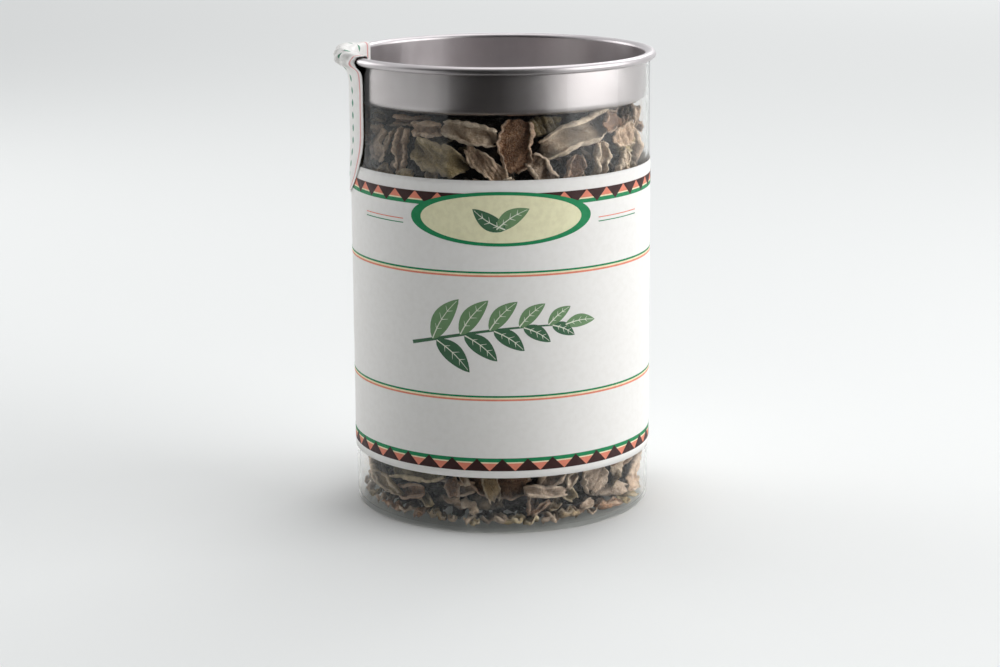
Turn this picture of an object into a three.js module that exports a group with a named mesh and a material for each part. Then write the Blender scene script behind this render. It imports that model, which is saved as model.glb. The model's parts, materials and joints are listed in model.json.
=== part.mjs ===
// A clear jar of dried sage leaves: a thin-walled clear tube with its own flat base, a deep-drawn
// tinplate plug lid with a rolled bead, a paper label wrapped round the tube, a paper tamper seal that
// runs from inside the lid over the bead to the label, and the dried leaves inside.
// Millimetres, +Z up, origin at the middle of the flat base, front of the label facing -Y.
import * as THREE from 'three';

const { clamp, degToRad, lerp, smoothstep, seededRandom } = THREE.MathUtils;

// ---- driving dimensions -------------------------------------------------------------------------

const TURN_STEPS = 60; // facets in one full turn of every round piece

const JAR = { radius: 37.5, wall: 0.8, base: 1.2, height: 113.7, footCorner: 1.6 };

const LID = {
  sheet: 0.3, // tinplate thickness, a little heavy so that it stays a sound solid
  slip: 0.1, // gap between the cup and the tube
  floorHeight: 103.2, // middle of the sheet at the cup's floor, above the jar's foot
  floorCorner: 1.6,
  panelRadius: 27, // the middle panel stands one small step above the floor's outer ring
  panelStep: 0.7,
  beadWidth: 2.4, // rolled bead, measured to the middle of the sheet
  beadHeight: 1.8,
  top: 115,
};

const LABEL = { bottom: 14.5, top: 88, paper: 0.12, standOff: 0.1, overlap: 8, seamAngle: 90 };

// halfAngle is half of the strip's width round the tube; the strip narrows to a round tip
const SEAL = { paper: 0.12, halfAngle: 25.5, tipLength: 17, tipWidth: 0.08, tip: 79.5, side: 182 };

// spacing keeps the middles of two leaves apart; endWidth is a leaf's width at its torn ends, as a
// share of its full width
const LEAF = { thickness: 0.6, spacing: 2.3, wallGap: 0.35, endGap: 0.4, endWidth: 0.5 };

const innerRadius = JAR.radius - JAR.wall;
const cupRadius = innerRadius - LID.slip - LID.sheet / 2;

// ---- shape helpers ------------------------------------------------------------------------------

// A closed ring from a profile of (radius, height) points that starts and ends on the axis.
function turned(profile) {
  return new THREE.LatheGeometry(profile, TURN_STEPS).rotateX(Math.PI / 2);
}

// The outline of a bent sheet seen in section: its middle line, moved half a thickness to each side.
function sheetOutline(middleLine, thickness) {
  const side = (direction) => middleLine.map((point, i) => {
    const before = middleLine[Math.max(i - 1, 0)];
    const after = middleLine[Math.min(i + 1, middleLine.length - 1)];
    const along = after.clone().sub(before).normalize();
    const offset = new THREE.Vector2(along.y, -along.x).multiplyScalar(direction * thickness / 2);
    const moved = point.clone().add(offset);
    return point.x === 0 ? moved.setX(0) : moved;
  });
  return [...side(1), ...side(-1).reverse()];
}

// A closed thin solid around the surface(u, v, target), where u and v both run from -1 to 1.
function sheetSolid(surface, columns, rows, thickness) {
  const positions = [];
  const indices = [];
  const stride = columns + 1;
  const oneSide = stride * (rows + 1);
  const sheetPoint = (u, v) => surface(u, v, new THREE.Vector3());
  const small = 1e-3;

  for (const side of [1, -1]) {
    for (let j = 0; j <= rows; j++) {
      for (let i = 0; i <= columns; i++) {
        const u = lerp(-1, 1, i / columns);
        const v = lerp(-1, 1, j / rows);
        const alongU = sheetPoint(u + small, v).sub(sheetPoint(u - small, v));
        const alongV = sheetPoint(u, v + small).sub(sheetPoint(u, v - small));
        const normal = alongU.cross(alongV).normalize();
        const point = sheetPoint(u, v).addScaledVector(normal, side * thickness / 2);
        positions.push(...point);
      }
    }
  }

  for (let j = 0; j < rows; j++) {
    for (let i = 0; i < columns; i++) {
      const a = j * stride + i;
      const [b, c, d] = [a + 1, a + stride + 1, a + stride];
      indices.push(a, b, c, a, c, d);
      indices.push(oneSide + a, oneSide + c, oneSide + b, oneSide + a, oneSide + d, oneSide + c);
    }
  }

  const border = [
    ...Array.from({ length: columns }, (_, i) => i),
    ...Array.from({ length: rows }, (_, j) => j * stride + columns),
    ...Array.from({ length: columns }, (_, i) => rows * stride + columns - i),
    ...Array.from({ length: rows }, (_, j) => (rows - j) * stride),
  ];
  border.forEach((a, k) => {
    const b = border[(k + 1) % border.length];
    indices.push(a, oneSide + a, b, b, oneSide + a, oneSide + b);
  });

  const geometry = new THREE.BufferGeometry();
  geometry.setAttribute('position', new THREE.Float32BufferAttribute(positions, 3));
  geometry.setIndex(indices);
  geometry.computeVertexNormals();
  return geometry;
}

function onCylinder(radius, degrees, height, target) {
  const angle = degToRad(degrees);
  return target.set(radius * Math.cos(angle), radius * Math.sin(angle), height);
}

// ---- the container ------------------------------------------------------------------------------

function jarBody() {
  const { radius, wall, base, height, footCorner } = JAR;
  const insideCorner = footCorner - wall;
  const outline = new THREE.Path()
    .moveTo(0, 0)
    .lineTo(radius - footCorner, 0)
    .absarc(radius - footCorner, footCorner, footCorner, -Math.PI / 2, 0)
    .lineTo(radius, height)
    .lineTo(innerRadius, height)
    .lineTo(innerRadius, base + insideCorner)
    .absarc(innerRadius - insideCorner, base + insideCorner, insideCorner, 0, -Math.PI / 2, true)
    .lineTo(0, base);
  return turned(outline.getPoints(2));
}

function lid() {
  const { sheet, floorHeight, floorCorner, panelRadius, panelStep, beadWidth, beadHeight, top } = LID;
  const beadMiddle = top - sheet / 2 - beadHeight / 2;
  const middleLine = new THREE.Path()
    .moveTo(0, floorHeight + panelStep)
    .lineTo(panelRadius, floorHeight + panelStep)
    .lineTo(panelRadius + panelStep, floorHeight)
    .lineTo(cupRadius - floorCorner, floorHeight)
    .absarc(cupRadius - floorCorner, floorHeight + floorCorner, floorCorner, -Math.PI / 2, 0)
    .lineTo(cupRadius, beadMiddle)
    .absellipse(
      cupRadius + beadWidth / 2, beadMiddle, beadWidth / 2, beadHeight / 2,
      Math.PI, -Math.PI / 2, true,
    );
  return turned(sheetOutline(middleLine.getPoints(4), sheet));
}

// The label goes once round the tube, and its end laps over its start at the back.
function label() {
  const { bottom, top, paper, standOff, overlap, seamAngle } = LABEL;
  const wrapped = 360 + overlap;
  const surface = (u, v, target) => {
    const travelled = (u + 1) / 2 * wrapped;
    const lift = 2 * standOff * smoothstep(travelled, 360 - overlap, 360 - overlap / 2);
    const radius = JAR.radius + standOff + paper / 2 + lift;
    const height = lerp(bottom, top, (v + 1) / 2);
    return onCylinder(radius, seamAngle - overlap / 2 + travelled, height, target);
  };
  return sheetSolid(surface, TURN_STEPS + 4, 1, paper);
}

// The seal's line in section: up inside the cup, over the bead in a small puckered loop that pinches
// back to the tube right below it, and down the tube.
function sealLine() {
  const { top } = LID;
  const insideCup = cupRadius - LID.sheet / 2 - 0.2;
  const onTube = JAR.radius + 0.2;
  const onLabel = JAR.radius + LABEL.standOff + LABEL.paper + 0.2;
  return new THREE.SplineCurve([
    new THREE.Vector2(insideCup, top - 8),
    new THREE.Vector2(insideCup, top - 2.5),
    new THREE.Vector2(insideCup + 0.3, top + 0.2),
    new THREE.Vector2(JAR.radius + 0.3, top + 0.7),
    new THREE.Vector2(JAR.radius + 2.6, top + 0.9),
    new THREE.Vector2(JAR.radius + 4.2, top - 0.4),
    new THREE.Vector2(JAR.radius + 3.9, top - 2.2),
    new THREE.Vector2(JAR.radius + 2.0, top - 3.4),
    new THREE.Vector2(JAR.radius + 0.7, top - 5),
    new THREE.Vector2(onTube + 0.1, top - 8),
    new THREE.Vector2(onTube, top - 13),
    new THREE.Vector2(onTube, LABEL.top + 5),
    new THREE.Vector2(onLabel, LABEL.top - 0.5),
    new THREE.Vector2(onLabel, SEAL.tip),
  ]);
}

function sealStrip() {
  const line = sealLine();
  const surface = (u, v, target) => {
    const onLine = line.getPoint(clamp((v + 1) / 2, 0, 1));
    const intoTip = Math.max(0, 1 - (onLine.y - SEAL.tip) / SEAL.tipLength);
    const width = Math.max(SEAL.tipWidth, (1 - intoTip ** 2) ** 0.6);
    return onCylinder(onLine.x, SEAL.side + u * width * SEAL.halfAngle, onLine.y, target);
  };
  return sheetSolid(surface, 8, 36, SEAL.paper);
}

// ---- the leaves ---------------------------------------------------------------------------------

// A dried leaf, or a broken piece of one, is a patch bent both ways. It lies in its own YZ plane,
// its length along Y, and X is the side that looks out through the wall. gutter folds the long edges
// out, arch bends the length, twist winds it.
function leafSurface({ length, width, gutter = 0, arch = 0, twist = 0 }) {
  return (u, v, target) => {
    const along = u * length / 2;
    const outline = lerp(LEAF.endWidth, 1, 1 - Math.abs(u) ** 4);
    const across = v * width / 2 * outline;
    const rise = gutter * across ** 2 + arch * along ** 2 + twist * along * across;
    return target.set(rise, along, across);
  };
}

// Points spread over the leaf where it lies, to measure its distance from the wall and its fellows.
function leafPoints(surface, mesh) {
  mesh.updateWorldMatrix(true, false);
  const points = [];
  for (let i = -6; i <= 6; i++) {
    for (let j = -3; j <= 3; j++) {
      points.push(surface(i / 6, j / 3, new THREE.Vector3()).applyMatrix4(mesh.matrixWorld));
    }
  }
  return points;
}

const fromAxis = (point) => Math.hypot(point.x, point.y);

// Lays a leaf in the jar: turn goes round from the front, spin turns it on the wall, lean tips it
// off the wall. It slides outwards until its furthest point is depth away from the wall.
function layLeaf({ look, turn, height, spin, lean = 0, depth = 0, ...shape }) {
  const surface = leafSurface(shape);
  const mesh = new THREE.Mesh(sheetSolid(surface, 6, 4, LEAF.thickness));
  const holder = new THREE.Group().add(mesh);
  holder.rotation.z = degToRad(turn - 90);
  mesh.rotation.set(degToRad(spin), degToRad(lean), 0);
  mesh.position.set(innerRadius / 2, 0, height);
  const reach = innerRadius - LEAF.wallGap - LEAF.thickness / 2 - depth;
  for (let pass = 0; pass < 4; pass++) {
    const furthest = Math.max(...leafPoints(surface, mesh).map(fromAxis));
    mesh.position.x += reach - furthest;
  }
  return { look, mesh, holder, points: leafPoints(surface, mesh), reach: shape.length / 2 + 2 };
}

function insideJar({ points }) {
  const lowest = JAR.base + LEAF.endGap + LEAF.thickness;
  const highest = LID.floorHeight - LID.sheet / 2 - LEAF.endGap - LEAF.thickness;
  return points.every((point) => point.z > lowest && point.z < highest);
}

function clearOf(leaf, other) {
  const apart = leaf.holder.localToWorld(leaf.mesh.position.clone())
    .distanceTo(other.holder.localToWorld(other.mesh.position.clone()));
  if (apart > leaf.reach + other.reach + LEAF.spacing) return true;
  return leaf.points.every((a) => other.points.every((b) => a.distanceTo(b) > LEAF.spacing));
}

// The leaves that show through the clear window over the label, at the front. Degrees for turn, spin
// and lean; look is a name in leafLooks.
const windowLeaves = [
  { look: 'grey', turn: -60, height: 94.0, spin: 80, length: 9, width: 5, gutter: -0.08 },
  { look: 'beige', turn: -44, height: 93.2, spin: 84, length: 11.5, width: 5.5, gutter: 0.16, arch: -0.01 },
  { look: 'beige', turn: -31, height: 99.3, spin: 4, length: 8.5, width: 4.5, gutter: 0.18, arch: -0.014 },
  { look: 'pale', turn: -12.5, height: 98.9, spin: -9, length: 13.5, width: 5.5, gutter: 0.02, arch: -0.014 },
  { look: 'olive', turn: -26, height: 92.6, spin: -16, length: 15, width: 5.6, gutter: 0.16, arch: -0.03 },
  { look: 'beige', turn: -6, height: 91.3, spin: -40, length: 12, width: 3.4, gutter: -0.1, arch: -0.01 },
  { look: 'brown', turn: 6, height: 95.6, spin: 80, length: 13, width: 7.5, gutter: -0.03, depth: 0.5 },
  { look: 'olive', turn: 19, height: 99.8, spin: 3, length: 9, width: 4.5, arch: -0.014, depth: 4 },
  { look: 'pale', turn: 34, height: 97.6, spin: 18, length: 20, width: 7.5, gutter: 0.06, arch: -0.016 },
  { look: 'grey', turn: 17, height: 89.4, spin: -50, length: 9, width: 5.5, gutter: 0.05, depth: 2.5 },
  { look: 'brown', turn: 31, height: 88.8, spin: 75, length: 8, width: 4.2, gutter: 0.05 },
  { look: 'pale', turn: 45, height: 90.4, spin: 82, length: 10, width: 5.5, gutter: 0.14 },
  { look: 'beige', turn: 60, height: 95.6, spin: -4, length: 10, width: 4.5, gutter: -0.06, arch: -0.014 },
  { look: 'pale', turn: 60, height: 88.4, spin: 60, length: 8, width: 5, gutter: 0.04 },
];

// The other leaves lie anyhow in three bands: behind the window, behind the label and at the foot.
const bands = [
  { low: 84, high: 101, count: 14 },
  { low: 24, high: 80, count: 12 },
  { low: 4, high: 18, count: 15 },
];

const leafLooks = {
  beige: '#a79a83',
  olive: '#8f8770',
  pale: '#b8ab95',
  darkOlive: '#7c7559',
  brown: '#93714f',
  grey: '#9c9484',
};

const between = (low, high) => lerp(low, high, seededRandom());
const oneOf = (names) => names[Math.floor(seededRandom() * names.length)];

function anyLeaf({ low, high }) {
  return {
    look: oneOf(Object.keys(leafLooks)),
    turn: between(-180, 180),
    height: between(low, high),
    spin: between(-90, 90),
    lean: between(-12, 12),
    depth: between(0, 5),
    length: between(13, 22),
    width: between(6, 10),
    gutter: between(-0.12, 0.12),
    arch: between(-0.02, 0),
    twist: between(-0.02, 0.02),
  };
}

function allLeaves() {
  seededRandom(11);
  const leaves = windowLeaves.map(layLeaf);
  for (const band of bands) {
    const full = leaves.length + band.count;
    while (leaves.length < full) {
      const leaf = layLeaf(anyLeaf(band));
      if (insideJar(leaf) && leaves.every((other) => clearOf(leaf, other))) leaves.push(leaf);
    }
  }
  return leaves;
}

// ---- the object ---------------------------------------------------------------------------------

const clearPlastic = { color: '#eef2f2', roughness: 0.08, transparent: true, opacity: 0.3 };
const tinplate = { color: '#a39c98', roughness: 0.3, metalness: 1 };
const paper = { color: '#e9e6e1', roughness: 0.75 };

const jarOfSage = new THREE.Group();

function addPiece(name, geometry, look) {
  const mesh = new THREE.Mesh(geometry, new THREE.MeshStandardMaterial(look));
  mesh.name = name;
  jarOfSage.add(mesh);
}

addPiece('jar_body', jarBody(), clearPlastic);
addPiece('lid', lid(), tinplate);
addPiece('label', label(), paper);
addPiece('seal_strip', sealStrip(), paper);

allLeaves().forEach(({ look, mesh, holder }, i) => {
  mesh.name = `leaf_${String(i + 1).padStart(2, '0')}`;
  mesh.material = new THREE.MeshStandardMaterial({ color: leafLooks[look], roughness: 0.95 });
  jarOfSage.add(holder);
});

export default jarOfSage;
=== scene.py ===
# %% [markdown]
# # A jar of dried sage leaves
#
# The object is a clear plastic tube with a tinplate lid pressed into it, a paper label round its
# waist, a paper seal that has to be torn to lift the lid, and a filling of dried sage leaves.
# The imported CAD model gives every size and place. This script gives each piece its fine shape and
# its finish. Everything is in metres, with Z up and the front of the label facing -Y.

# %% Load the frame
import json
import math

import bmesh
import bpy
import numpy as np
from mathutils import Matrix, Vector


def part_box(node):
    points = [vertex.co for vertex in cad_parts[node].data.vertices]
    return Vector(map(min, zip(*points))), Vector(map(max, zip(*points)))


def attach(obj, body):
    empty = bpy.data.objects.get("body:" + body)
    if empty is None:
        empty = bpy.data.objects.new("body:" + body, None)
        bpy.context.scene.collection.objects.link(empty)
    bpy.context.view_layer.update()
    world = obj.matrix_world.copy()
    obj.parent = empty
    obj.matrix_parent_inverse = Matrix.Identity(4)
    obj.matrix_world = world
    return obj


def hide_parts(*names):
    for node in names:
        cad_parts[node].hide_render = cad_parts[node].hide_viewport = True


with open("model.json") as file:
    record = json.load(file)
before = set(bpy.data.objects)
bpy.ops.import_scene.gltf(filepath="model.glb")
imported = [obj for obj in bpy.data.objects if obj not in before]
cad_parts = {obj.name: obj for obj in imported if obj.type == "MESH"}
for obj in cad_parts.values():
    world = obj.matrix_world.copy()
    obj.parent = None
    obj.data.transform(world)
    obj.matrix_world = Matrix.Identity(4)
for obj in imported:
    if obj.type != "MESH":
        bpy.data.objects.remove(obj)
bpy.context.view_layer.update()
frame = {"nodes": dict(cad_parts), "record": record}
mm = 0.001

# %% [markdown]
# ## Sizes from the frame
#
# The CAD boxes give the tube's radius and height, the lid's bead, and how high the label and the
# seal reach. Only what a box can't tell, such as the thickness of the tinplate, is a named value
# here, and it repeats the CAD's own value.

# %% Main sizes
tube_low, tube_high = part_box("jar_body")
lid_low, lid_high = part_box("lid")
label_low, label_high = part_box("label")
seal_low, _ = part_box("seal_strip")

TUBE_RADIUS = tube_high.x
TUBE_WALL = 0.8 * mm
TUBE_BASE = 1.2 * mm
INNER_RADIUS = TUBE_RADIUS - TUBE_WALL
SHEET = 0.3 * mm
LID_FLOOR = lid_low.z + SHEET / 2
STAND_OFF = 0.1 * mm
LABEL_PAPER = 0.12 * mm
LABEL_RADIUS = TUBE_RADIUS + STAND_OFF + LABEL_PAPER
print(f"tube {2 * TUBE_RADIUS / mm:.1f} mm wide, label {(label_high.z - label_low.z) / mm:.1f} mm high")

# %% [markdown]
# ## Surfaces from two numbers
#
# Almost every piece here is a surface: a rule that turns two numbers, u and v, into a point. numpy
# works the rule out for a whole grid of u and v at once, and the grid's cells become the faces.
# A closed thin piece, such as a leaf, is two such grids, front and back, joined round their edge.

# %% Grid helpers


def grid(columns, rows, low=-1.0, high=1.0):
    """Two arrays, u and v, shaped (rows + 1, columns + 1), each running evenly from low to high."""
    u, v = np.meshgrid(np.linspace(low, high, columns + 1), np.linspace(low, high, rows + 1))
    return u, v


def grid_faces(columns, rows, start=0):
    """The four-cornered faces of a grid of (rows + 1) x (columns + 1) points, row after row."""
    i, j = np.meshgrid(np.arange(columns), np.arange(rows))
    a = (start + j * (columns + 1) + i).ravel()
    return np.stack([a, a + 1, a + columns + 2, a + columns + 1], 1)


def border(columns, rows):
    """The point numbers round the edge of a grid, in order."""
    numbers = np.arange((rows + 1) * (columns + 1)).reshape(rows + 1, columns + 1)
    return np.concatenate([numbers[0, :-1], numbers[:-1, -1], numbers[-1, :0:-1], numbers[:0:-1, 0]])


def normals(points):
    """The unit normal at each point of a grid: the cross product of its two directions."""
    across = np.gradient(points, axis=1)
    along = np.gradient(points, axis=0)
    normal = np.cross(across, along)
    return normal / np.maximum(np.linalg.norm(normal, axis=2, keepdims=True), 1e-12)


def thin_shell(points, thickness):
    """A closed thin body around a grid of points: the grid moved half the thickness each way,
    and a strip of faces round the edge. Returns its points and faces."""
    rows, columns = points.shape[0] - 1, points.shape[1] - 1
    offset = normals(points) * (np.asarray(thickness) / 2)[..., None]
    count = points.shape[0] * points.shape[1]
    front = grid_faces(columns, rows)
    back = grid_faces(columns, rows, count)[:, ::-1]
    edge = border(columns, rows)
    ahead = np.roll(edge, -1)
    rim = np.stack([edge, edge + count, ahead + count, ahead], 1)
    shell = np.concatenate([(points + offset).reshape(-1, 3), (points - offset).reshape(-1, 3)])
    return shell, np.concatenate([front, back, rim])


def piece(name, points, faces, attributes=None):
    """A smooth mesh object from arrays of points and faces, with one number per point for each
    named attribute."""
    mesh = bpy.data.meshes.new(name)
    mesh.from_pydata(points.tolist(), [], faces.tolist())
    for key, values in (attributes or {}).items():
        layer = mesh.attributes.new(key, "FLOAT", "POINT")
        layer.data.foreach_set("value", np.asarray(values, np.float32).ravel())
    mesh.polygons.foreach_set("use_smooth", np.ones(len(mesh.polygons), bool))
    mesh.update()
    made = bpy.data.objects.new(name, mesh)
    bpy.context.scene.collection.objects.link(made)
    return made


def finish(made, slot, material, *nodes):
    """Gives a piece its material, and lets it stand for the CAD nodes named. The slot is not used."""
    made.data.materials.append(material)
    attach(made, "root")
    if nodes:
        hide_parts(*nodes)
    return made


# %% [markdown]
# ## Round pieces from a profile
#
# The tube and the lid are round, so each is its half section, carried once round the axis. A corner
# of a moulded or pressed piece is never sharp, so each corner of the profile is swapped for a short
# arc. Where the profile meets the axis, all the turned copies of that point are merged into one.

# %% Profile helpers


def rounded(corners, steps=6):
    """A smooth line through (radius, height, corner radius) rows: each corner with a radius becomes
    an arc, a blend between its two tangent points that bulges towards the corner."""
    corners = np.asarray(corners, float)
    line = [corners[:1, :2]]
    for before, corner, after in zip(corners[:-2], corners[1:-1], corners[2:]):
        place, radius = corner[:2], corner[2]
        inward = (before[:2] - place) / np.linalg.norm(before[:2] - place)
        outward = (after[:2] - place) / np.linalg.norm(after[:2] - place)
        half_angle = math.acos(np.clip(inward @ outward, -1, 1)) / 2
        if radius == 0 or half_angle > 1.56:
            line.append(place[None])
            continue
        bisector = (inward + outward) / np.linalg.norm(inward + outward)
        middle = place + bisector * radius / math.sin(half_angle)
        tangent = radius / math.tan(half_angle)
        first, last = place + inward * tangent - middle, place + outward * tangent - middle
        share = np.linspace(0, 1, steps + 1)[:, None]
        blend = first * (1 - share) + last * share
        line.append(middle + blend / np.linalg.norm(blend, axis=1, keepdims=True) * radius)
    line.append(corners[-1:, :2])
    return np.concatenate(line)


def both_sides(line, thickness):
    """The closed outline of a bent sheet, from the middle line of its section."""
    along = np.gradient(line, axis=0)
    along /= np.linalg.norm(along, axis=1, keepdims=True)
    offset = np.stack([along[:, 1], -along[:, 0]], 1) * thickness / 2
    outer, inner = line + offset, line - offset
    on_axis = line[:, 0] == 0
    outer[on_axis, 0] = inner[on_axis, 0] = 0
    return np.concatenate([outer, inner[::-1]])


def turned(name, profile, steps=240):
    """A round body: the profile of (radius, height) points at each of the steps round the Z axis,
    joined back to the first, with the points on the axis merged."""
    angle = np.linspace(0, 2 * math.pi, steps, endpoint=False)[:, None]
    radius, height = profile[None, :, 0], profile[None, :, 1]
    points = np.stack([radius * np.cos(angle), radius * np.sin(angle), height + 0 * angle], 2)
    count = profile.shape[0]
    numbers = np.arange(steps * count).reshape(steps, count)
    ahead = np.roll(numbers, -1, axis=0)
    quads = np.stack([numbers[:, :-1], ahead[:, :-1], ahead[:, 1:], numbers[:, 1:]], 2).reshape(-1, 4)
    made = piece(name, points.reshape(-1, 3), quads)
    body = bmesh.new()
    body.from_mesh(made.data)
    bmesh.ops.remove_doubles(body, verts=body.verts, dist=1e-7)
    bmesh.ops.recalc_face_normals(body, faces=body.faces)
    body.to_mesh(made.data)
    body.free()
    return made


# %% [markdown]
# ## Building materials
#
# A material is a small graph of nodes. The helper below makes one node, sets its own choices, and
# fills its inputs either with a value or with a link from another node's output, so that each
# finish can be read from top to bottom.

# %% Node helpers


def node(tree, kind, inputs=None, **choices):
    """One shader node: choices are its settings, and inputs maps a socket, by its name or its
    number, to a value or a link."""
    made = tree.nodes.new(kind)
    for key, value in choices.items():
        setattr(made, key, value)
    for key, value in (inputs or {}).items():
        if isinstance(value, bpy.types.NodeSocket):
            tree.links.new(value, made.inputs[key])
        else:
            made.inputs[key].default_value = value
    return made


def new_material(name):
    """An empty material with its output node. Returns the material, its tree and the output."""
    material = bpy.data.materials.new(name)
    material.use_nodes = True
    material.node_tree.nodes.clear()
    return material, material.node_tree, material.node_tree.nodes.new("ShaderNodeOutputMaterial")


def new_group(name, inputs, outputs):
    """A node group with named sockets, given as {name: kind} or {name: (kind, value)}."""
    group = bpy.data.node_groups.new(name, "ShaderNodeTree")
    for in_out, sockets in (("INPUT", inputs), ("OUTPUT", outputs)):
        for key, spec in sockets.items():
            kind, value = spec if isinstance(spec, tuple) else (spec, None)
            socket = group.interface.new_socket(key, in_out=in_out, socket_type="NodeSocket" + kind)
            if value is not None:
                socket.default_value = value
    return group, group.nodes.new("NodeGroupInput").outputs, group.nodes.new("NodeGroupOutput").inputs


def use_group(tree, group, inputs):
    """Places a node group in a material with its own values and links."""
    return node(tree, "ShaderNodeGroup", inputs, node_tree=group).outputs


def mix_colour(tree, factor, first, second, blend="MIX"):
    """The colour between first and second, or their blend, by factor. The node has a set of sockets
    for each kind of value, and those for colours are inputs 6 and 7 and output 2."""
    inputs = {0: factor, 6: first, 7: second}
    return node(tree, "ShaderNodeMix", inputs, data_type="RGBA", blend_type=blend).outputs[2]


def math_node(tree, operation, first, second=0.0):
    """One step of arithmetic on two numbers or links."""
    return node(tree, "ShaderNodeMath", {0: first, 1: second}, operation=operation).outputs[0]


def noise(tree, place, scale, detail):
    """Soft random specks of about 1 / scale metres at a place, as a number round 0.5."""
    inputs = {"Vector": place, "Scale": scale, "Detail": detail}
    return node(tree, "ShaderNodeTexNoise", inputs).outputs["Fac"]


def bump(tree, height, strength, distance):
    """The normal that a height gives: strength is its share, and distance its depth in metres."""
    inputs = {"Height": height, "Strength": strength, "Distance": distance}
    return node(tree, "ShaderNodeBump", inputs).outputs[0]


def ramp(tree, value, low, high, to_low=0.0, to_high=1.0):
    """Carries value from the range low..high to to_low..to_high, smoothly and no further."""
    inputs = {"Value": value, "From Min": low, "From Max": high, "To Min": to_low, "To Max": to_high}
    return node(tree, "ShaderNodeMapRange", inputs, interpolation_type="SMOOTHSTEP").outputs["Result"]


def colour(red, green, blue):
    """A colour from 0..255 screen values, as the linear numbers that shaders work in."""
    screen = np.array([red, green, blue]) / 255
    linear = np.where(screen <= 0.04045, screen / 12.92, ((screen + 0.055) / 1.055) ** 2.4)
    return (*linear.tolist(), 1.0)


# %% [markdown]
# ## Clear plastic
#
# The tube is thin, smooth and clear. A wall as thin as this hardly bends what is seen through it, so
# its index of refraction is close to 1, and the shine of plastic comes from a clear coat over it.
# Light on its way to a lamp would be stopped by a refracting wall, so for those rays the wall is
# simply transparent: the leaves inside are then lit as cleanly as they are through thin plastic.

# %% Clear plastic material


def clear_plastic():
    """Clear, hardly bending plastic under a shiny coat, and open to light on its way to a lamp."""
    material, tree, out = new_material("clear_plastic")
    place = node(tree, "ShaderNodeTexCoord").outputs["Object"]
    haze = noise(tree, place, 60.0, 4.0)
    plastic = node(tree, "ShaderNodeBsdfPrincipled", {
        "Base Color": colour(252, 252, 251),
        "Roughness": ramp(tree, haze, 0.3, 0.8, 0.01, 0.04),
        "IOR": 1.02,
        "Transmission Weight": 1.0,
        "Coat Weight": 0.55,
        "Coat Roughness": 0.1,
        "Coat IOR": 1.5,
    })
    passing = node(tree, "ShaderNodeBsdfTransparent", {"Color": colour(248, 248, 247)})
    lamp_ray = node(tree, "ShaderNodeLightPath").outputs["Is Shadow Ray"]
    both = node(tree, "ShaderNodeMixShader", {0: lamp_ray, 1: plastic.outputs[0], 2: passing.outputs[0]})
    tree.links.new(both.outputs[0], out.inputs["Surface"])
    return material


# %% [markdown]
# ## The tube
#
# The tube and its base are one moulding with an even wall. The foot has a rounded corner and the
# mouth a softened lip, which catch thin lines of light.

# %% Tube
FOOT_CORNER = 1.6 * mm
LIP_CORNER = 0.3 * mm
tube_profile = rounded([
    (0, tube_low.z, 0),
    (TUBE_RADIUS, tube_low.z, FOOT_CORNER),
    (TUBE_RADIUS, tube_high.z, LIP_CORNER),
    (INNER_RADIUS, tube_high.z, LIP_CORNER),
    (INNER_RADIUS, TUBE_BASE, FOOT_CORNER - TUBE_WALL),
    (0, TUBE_BASE, 0),
])
tube = turned("clear_tube", tube_profile)
finish(tube, "clear_plastic", clear_plastic(), "jar_body")
print("tube faces:", len(tube.data.polygons))

# %% [markdown]
# ## Tinplate
#
# Tinned steel that has been drawn into a cup keeps a soft satin shine, so a reflection is a broad
# blur and never a clean mirror. The tin is a little cloudy, the drawing leaves very faint upright
# streaks, and here and there the tin is rubbed to a bright speck.

# %% Tinplate material


def tinplate():
    """Satin metal: a clouded grey with a few bright specks, and a roughness of cloud and streaks."""
    material, tree, out = new_material("tinplate")
    place = node(tree, "ShaderNodeTexCoord").outputs["Object"]
    upright = node(tree, "ShaderNodeMapping", {"Vector": place, "Scale": (1.0, 1.0, 0.05)}).outputs[0]
    streaks = noise(tree, upright, 700.0, 3.0)
    cloud = noise(tree, place, 90.0, 5.0)
    specks = noise(tree, place, 1500.0, 2.0)
    clouded = ramp(tree, cloud, 0.35, 0.7)
    tint = mix_colour(tree, clouded, colour(188, 182, 183), colour(198, 193, 194))
    tint = mix_colour(tree, ramp(tree, specks, 0.74, 0.78, 0.0, 0.3), tint, colour(240, 238, 236))
    worn = ramp(tree, cloud, 0.3, 0.7, 0.29, 0.35)
    rough = math_node(tree, "ADD", ramp(tree, streaks, 0.3, 0.7, 0.0, 0.04), worn)
    metal = node(tree, "ShaderNodeBsdfPrincipled", {
        "Base Color": tint,
        "Metallic": 1.0,
        "Roughness": rough,
    })
    tree.links.new(metal.outputs[0], out.inputs["Surface"])
    return material


# %% [markdown]
# ## The lid
#
# The lid is a cup pressed into the tube. Its section is one bent sheet: a floor with a small step,
# a rounded corner, the skirt, and a bead rolled outwards over the tube's rim. The bead is drawn as
# part of an ellipse, and both faces of the sheet follow the line half a thickness away.

# %% Lid
SLIP = 0.1 * mm
CUP_CORNER = 1.6 * mm
PANEL_RADIUS, PANEL_STEP, PANEL_CORNER = 27 * mm, 0.7 * mm, 0.6 * mm
cup_radius = INNER_RADIUS - SLIP - SHEET / 2
bead_width = lid_high.x - SHEET / 2 - cup_radius
bead_height = 1.8 * mm
bead_middle = lid_high.z - SHEET / 2 - bead_height / 2

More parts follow.
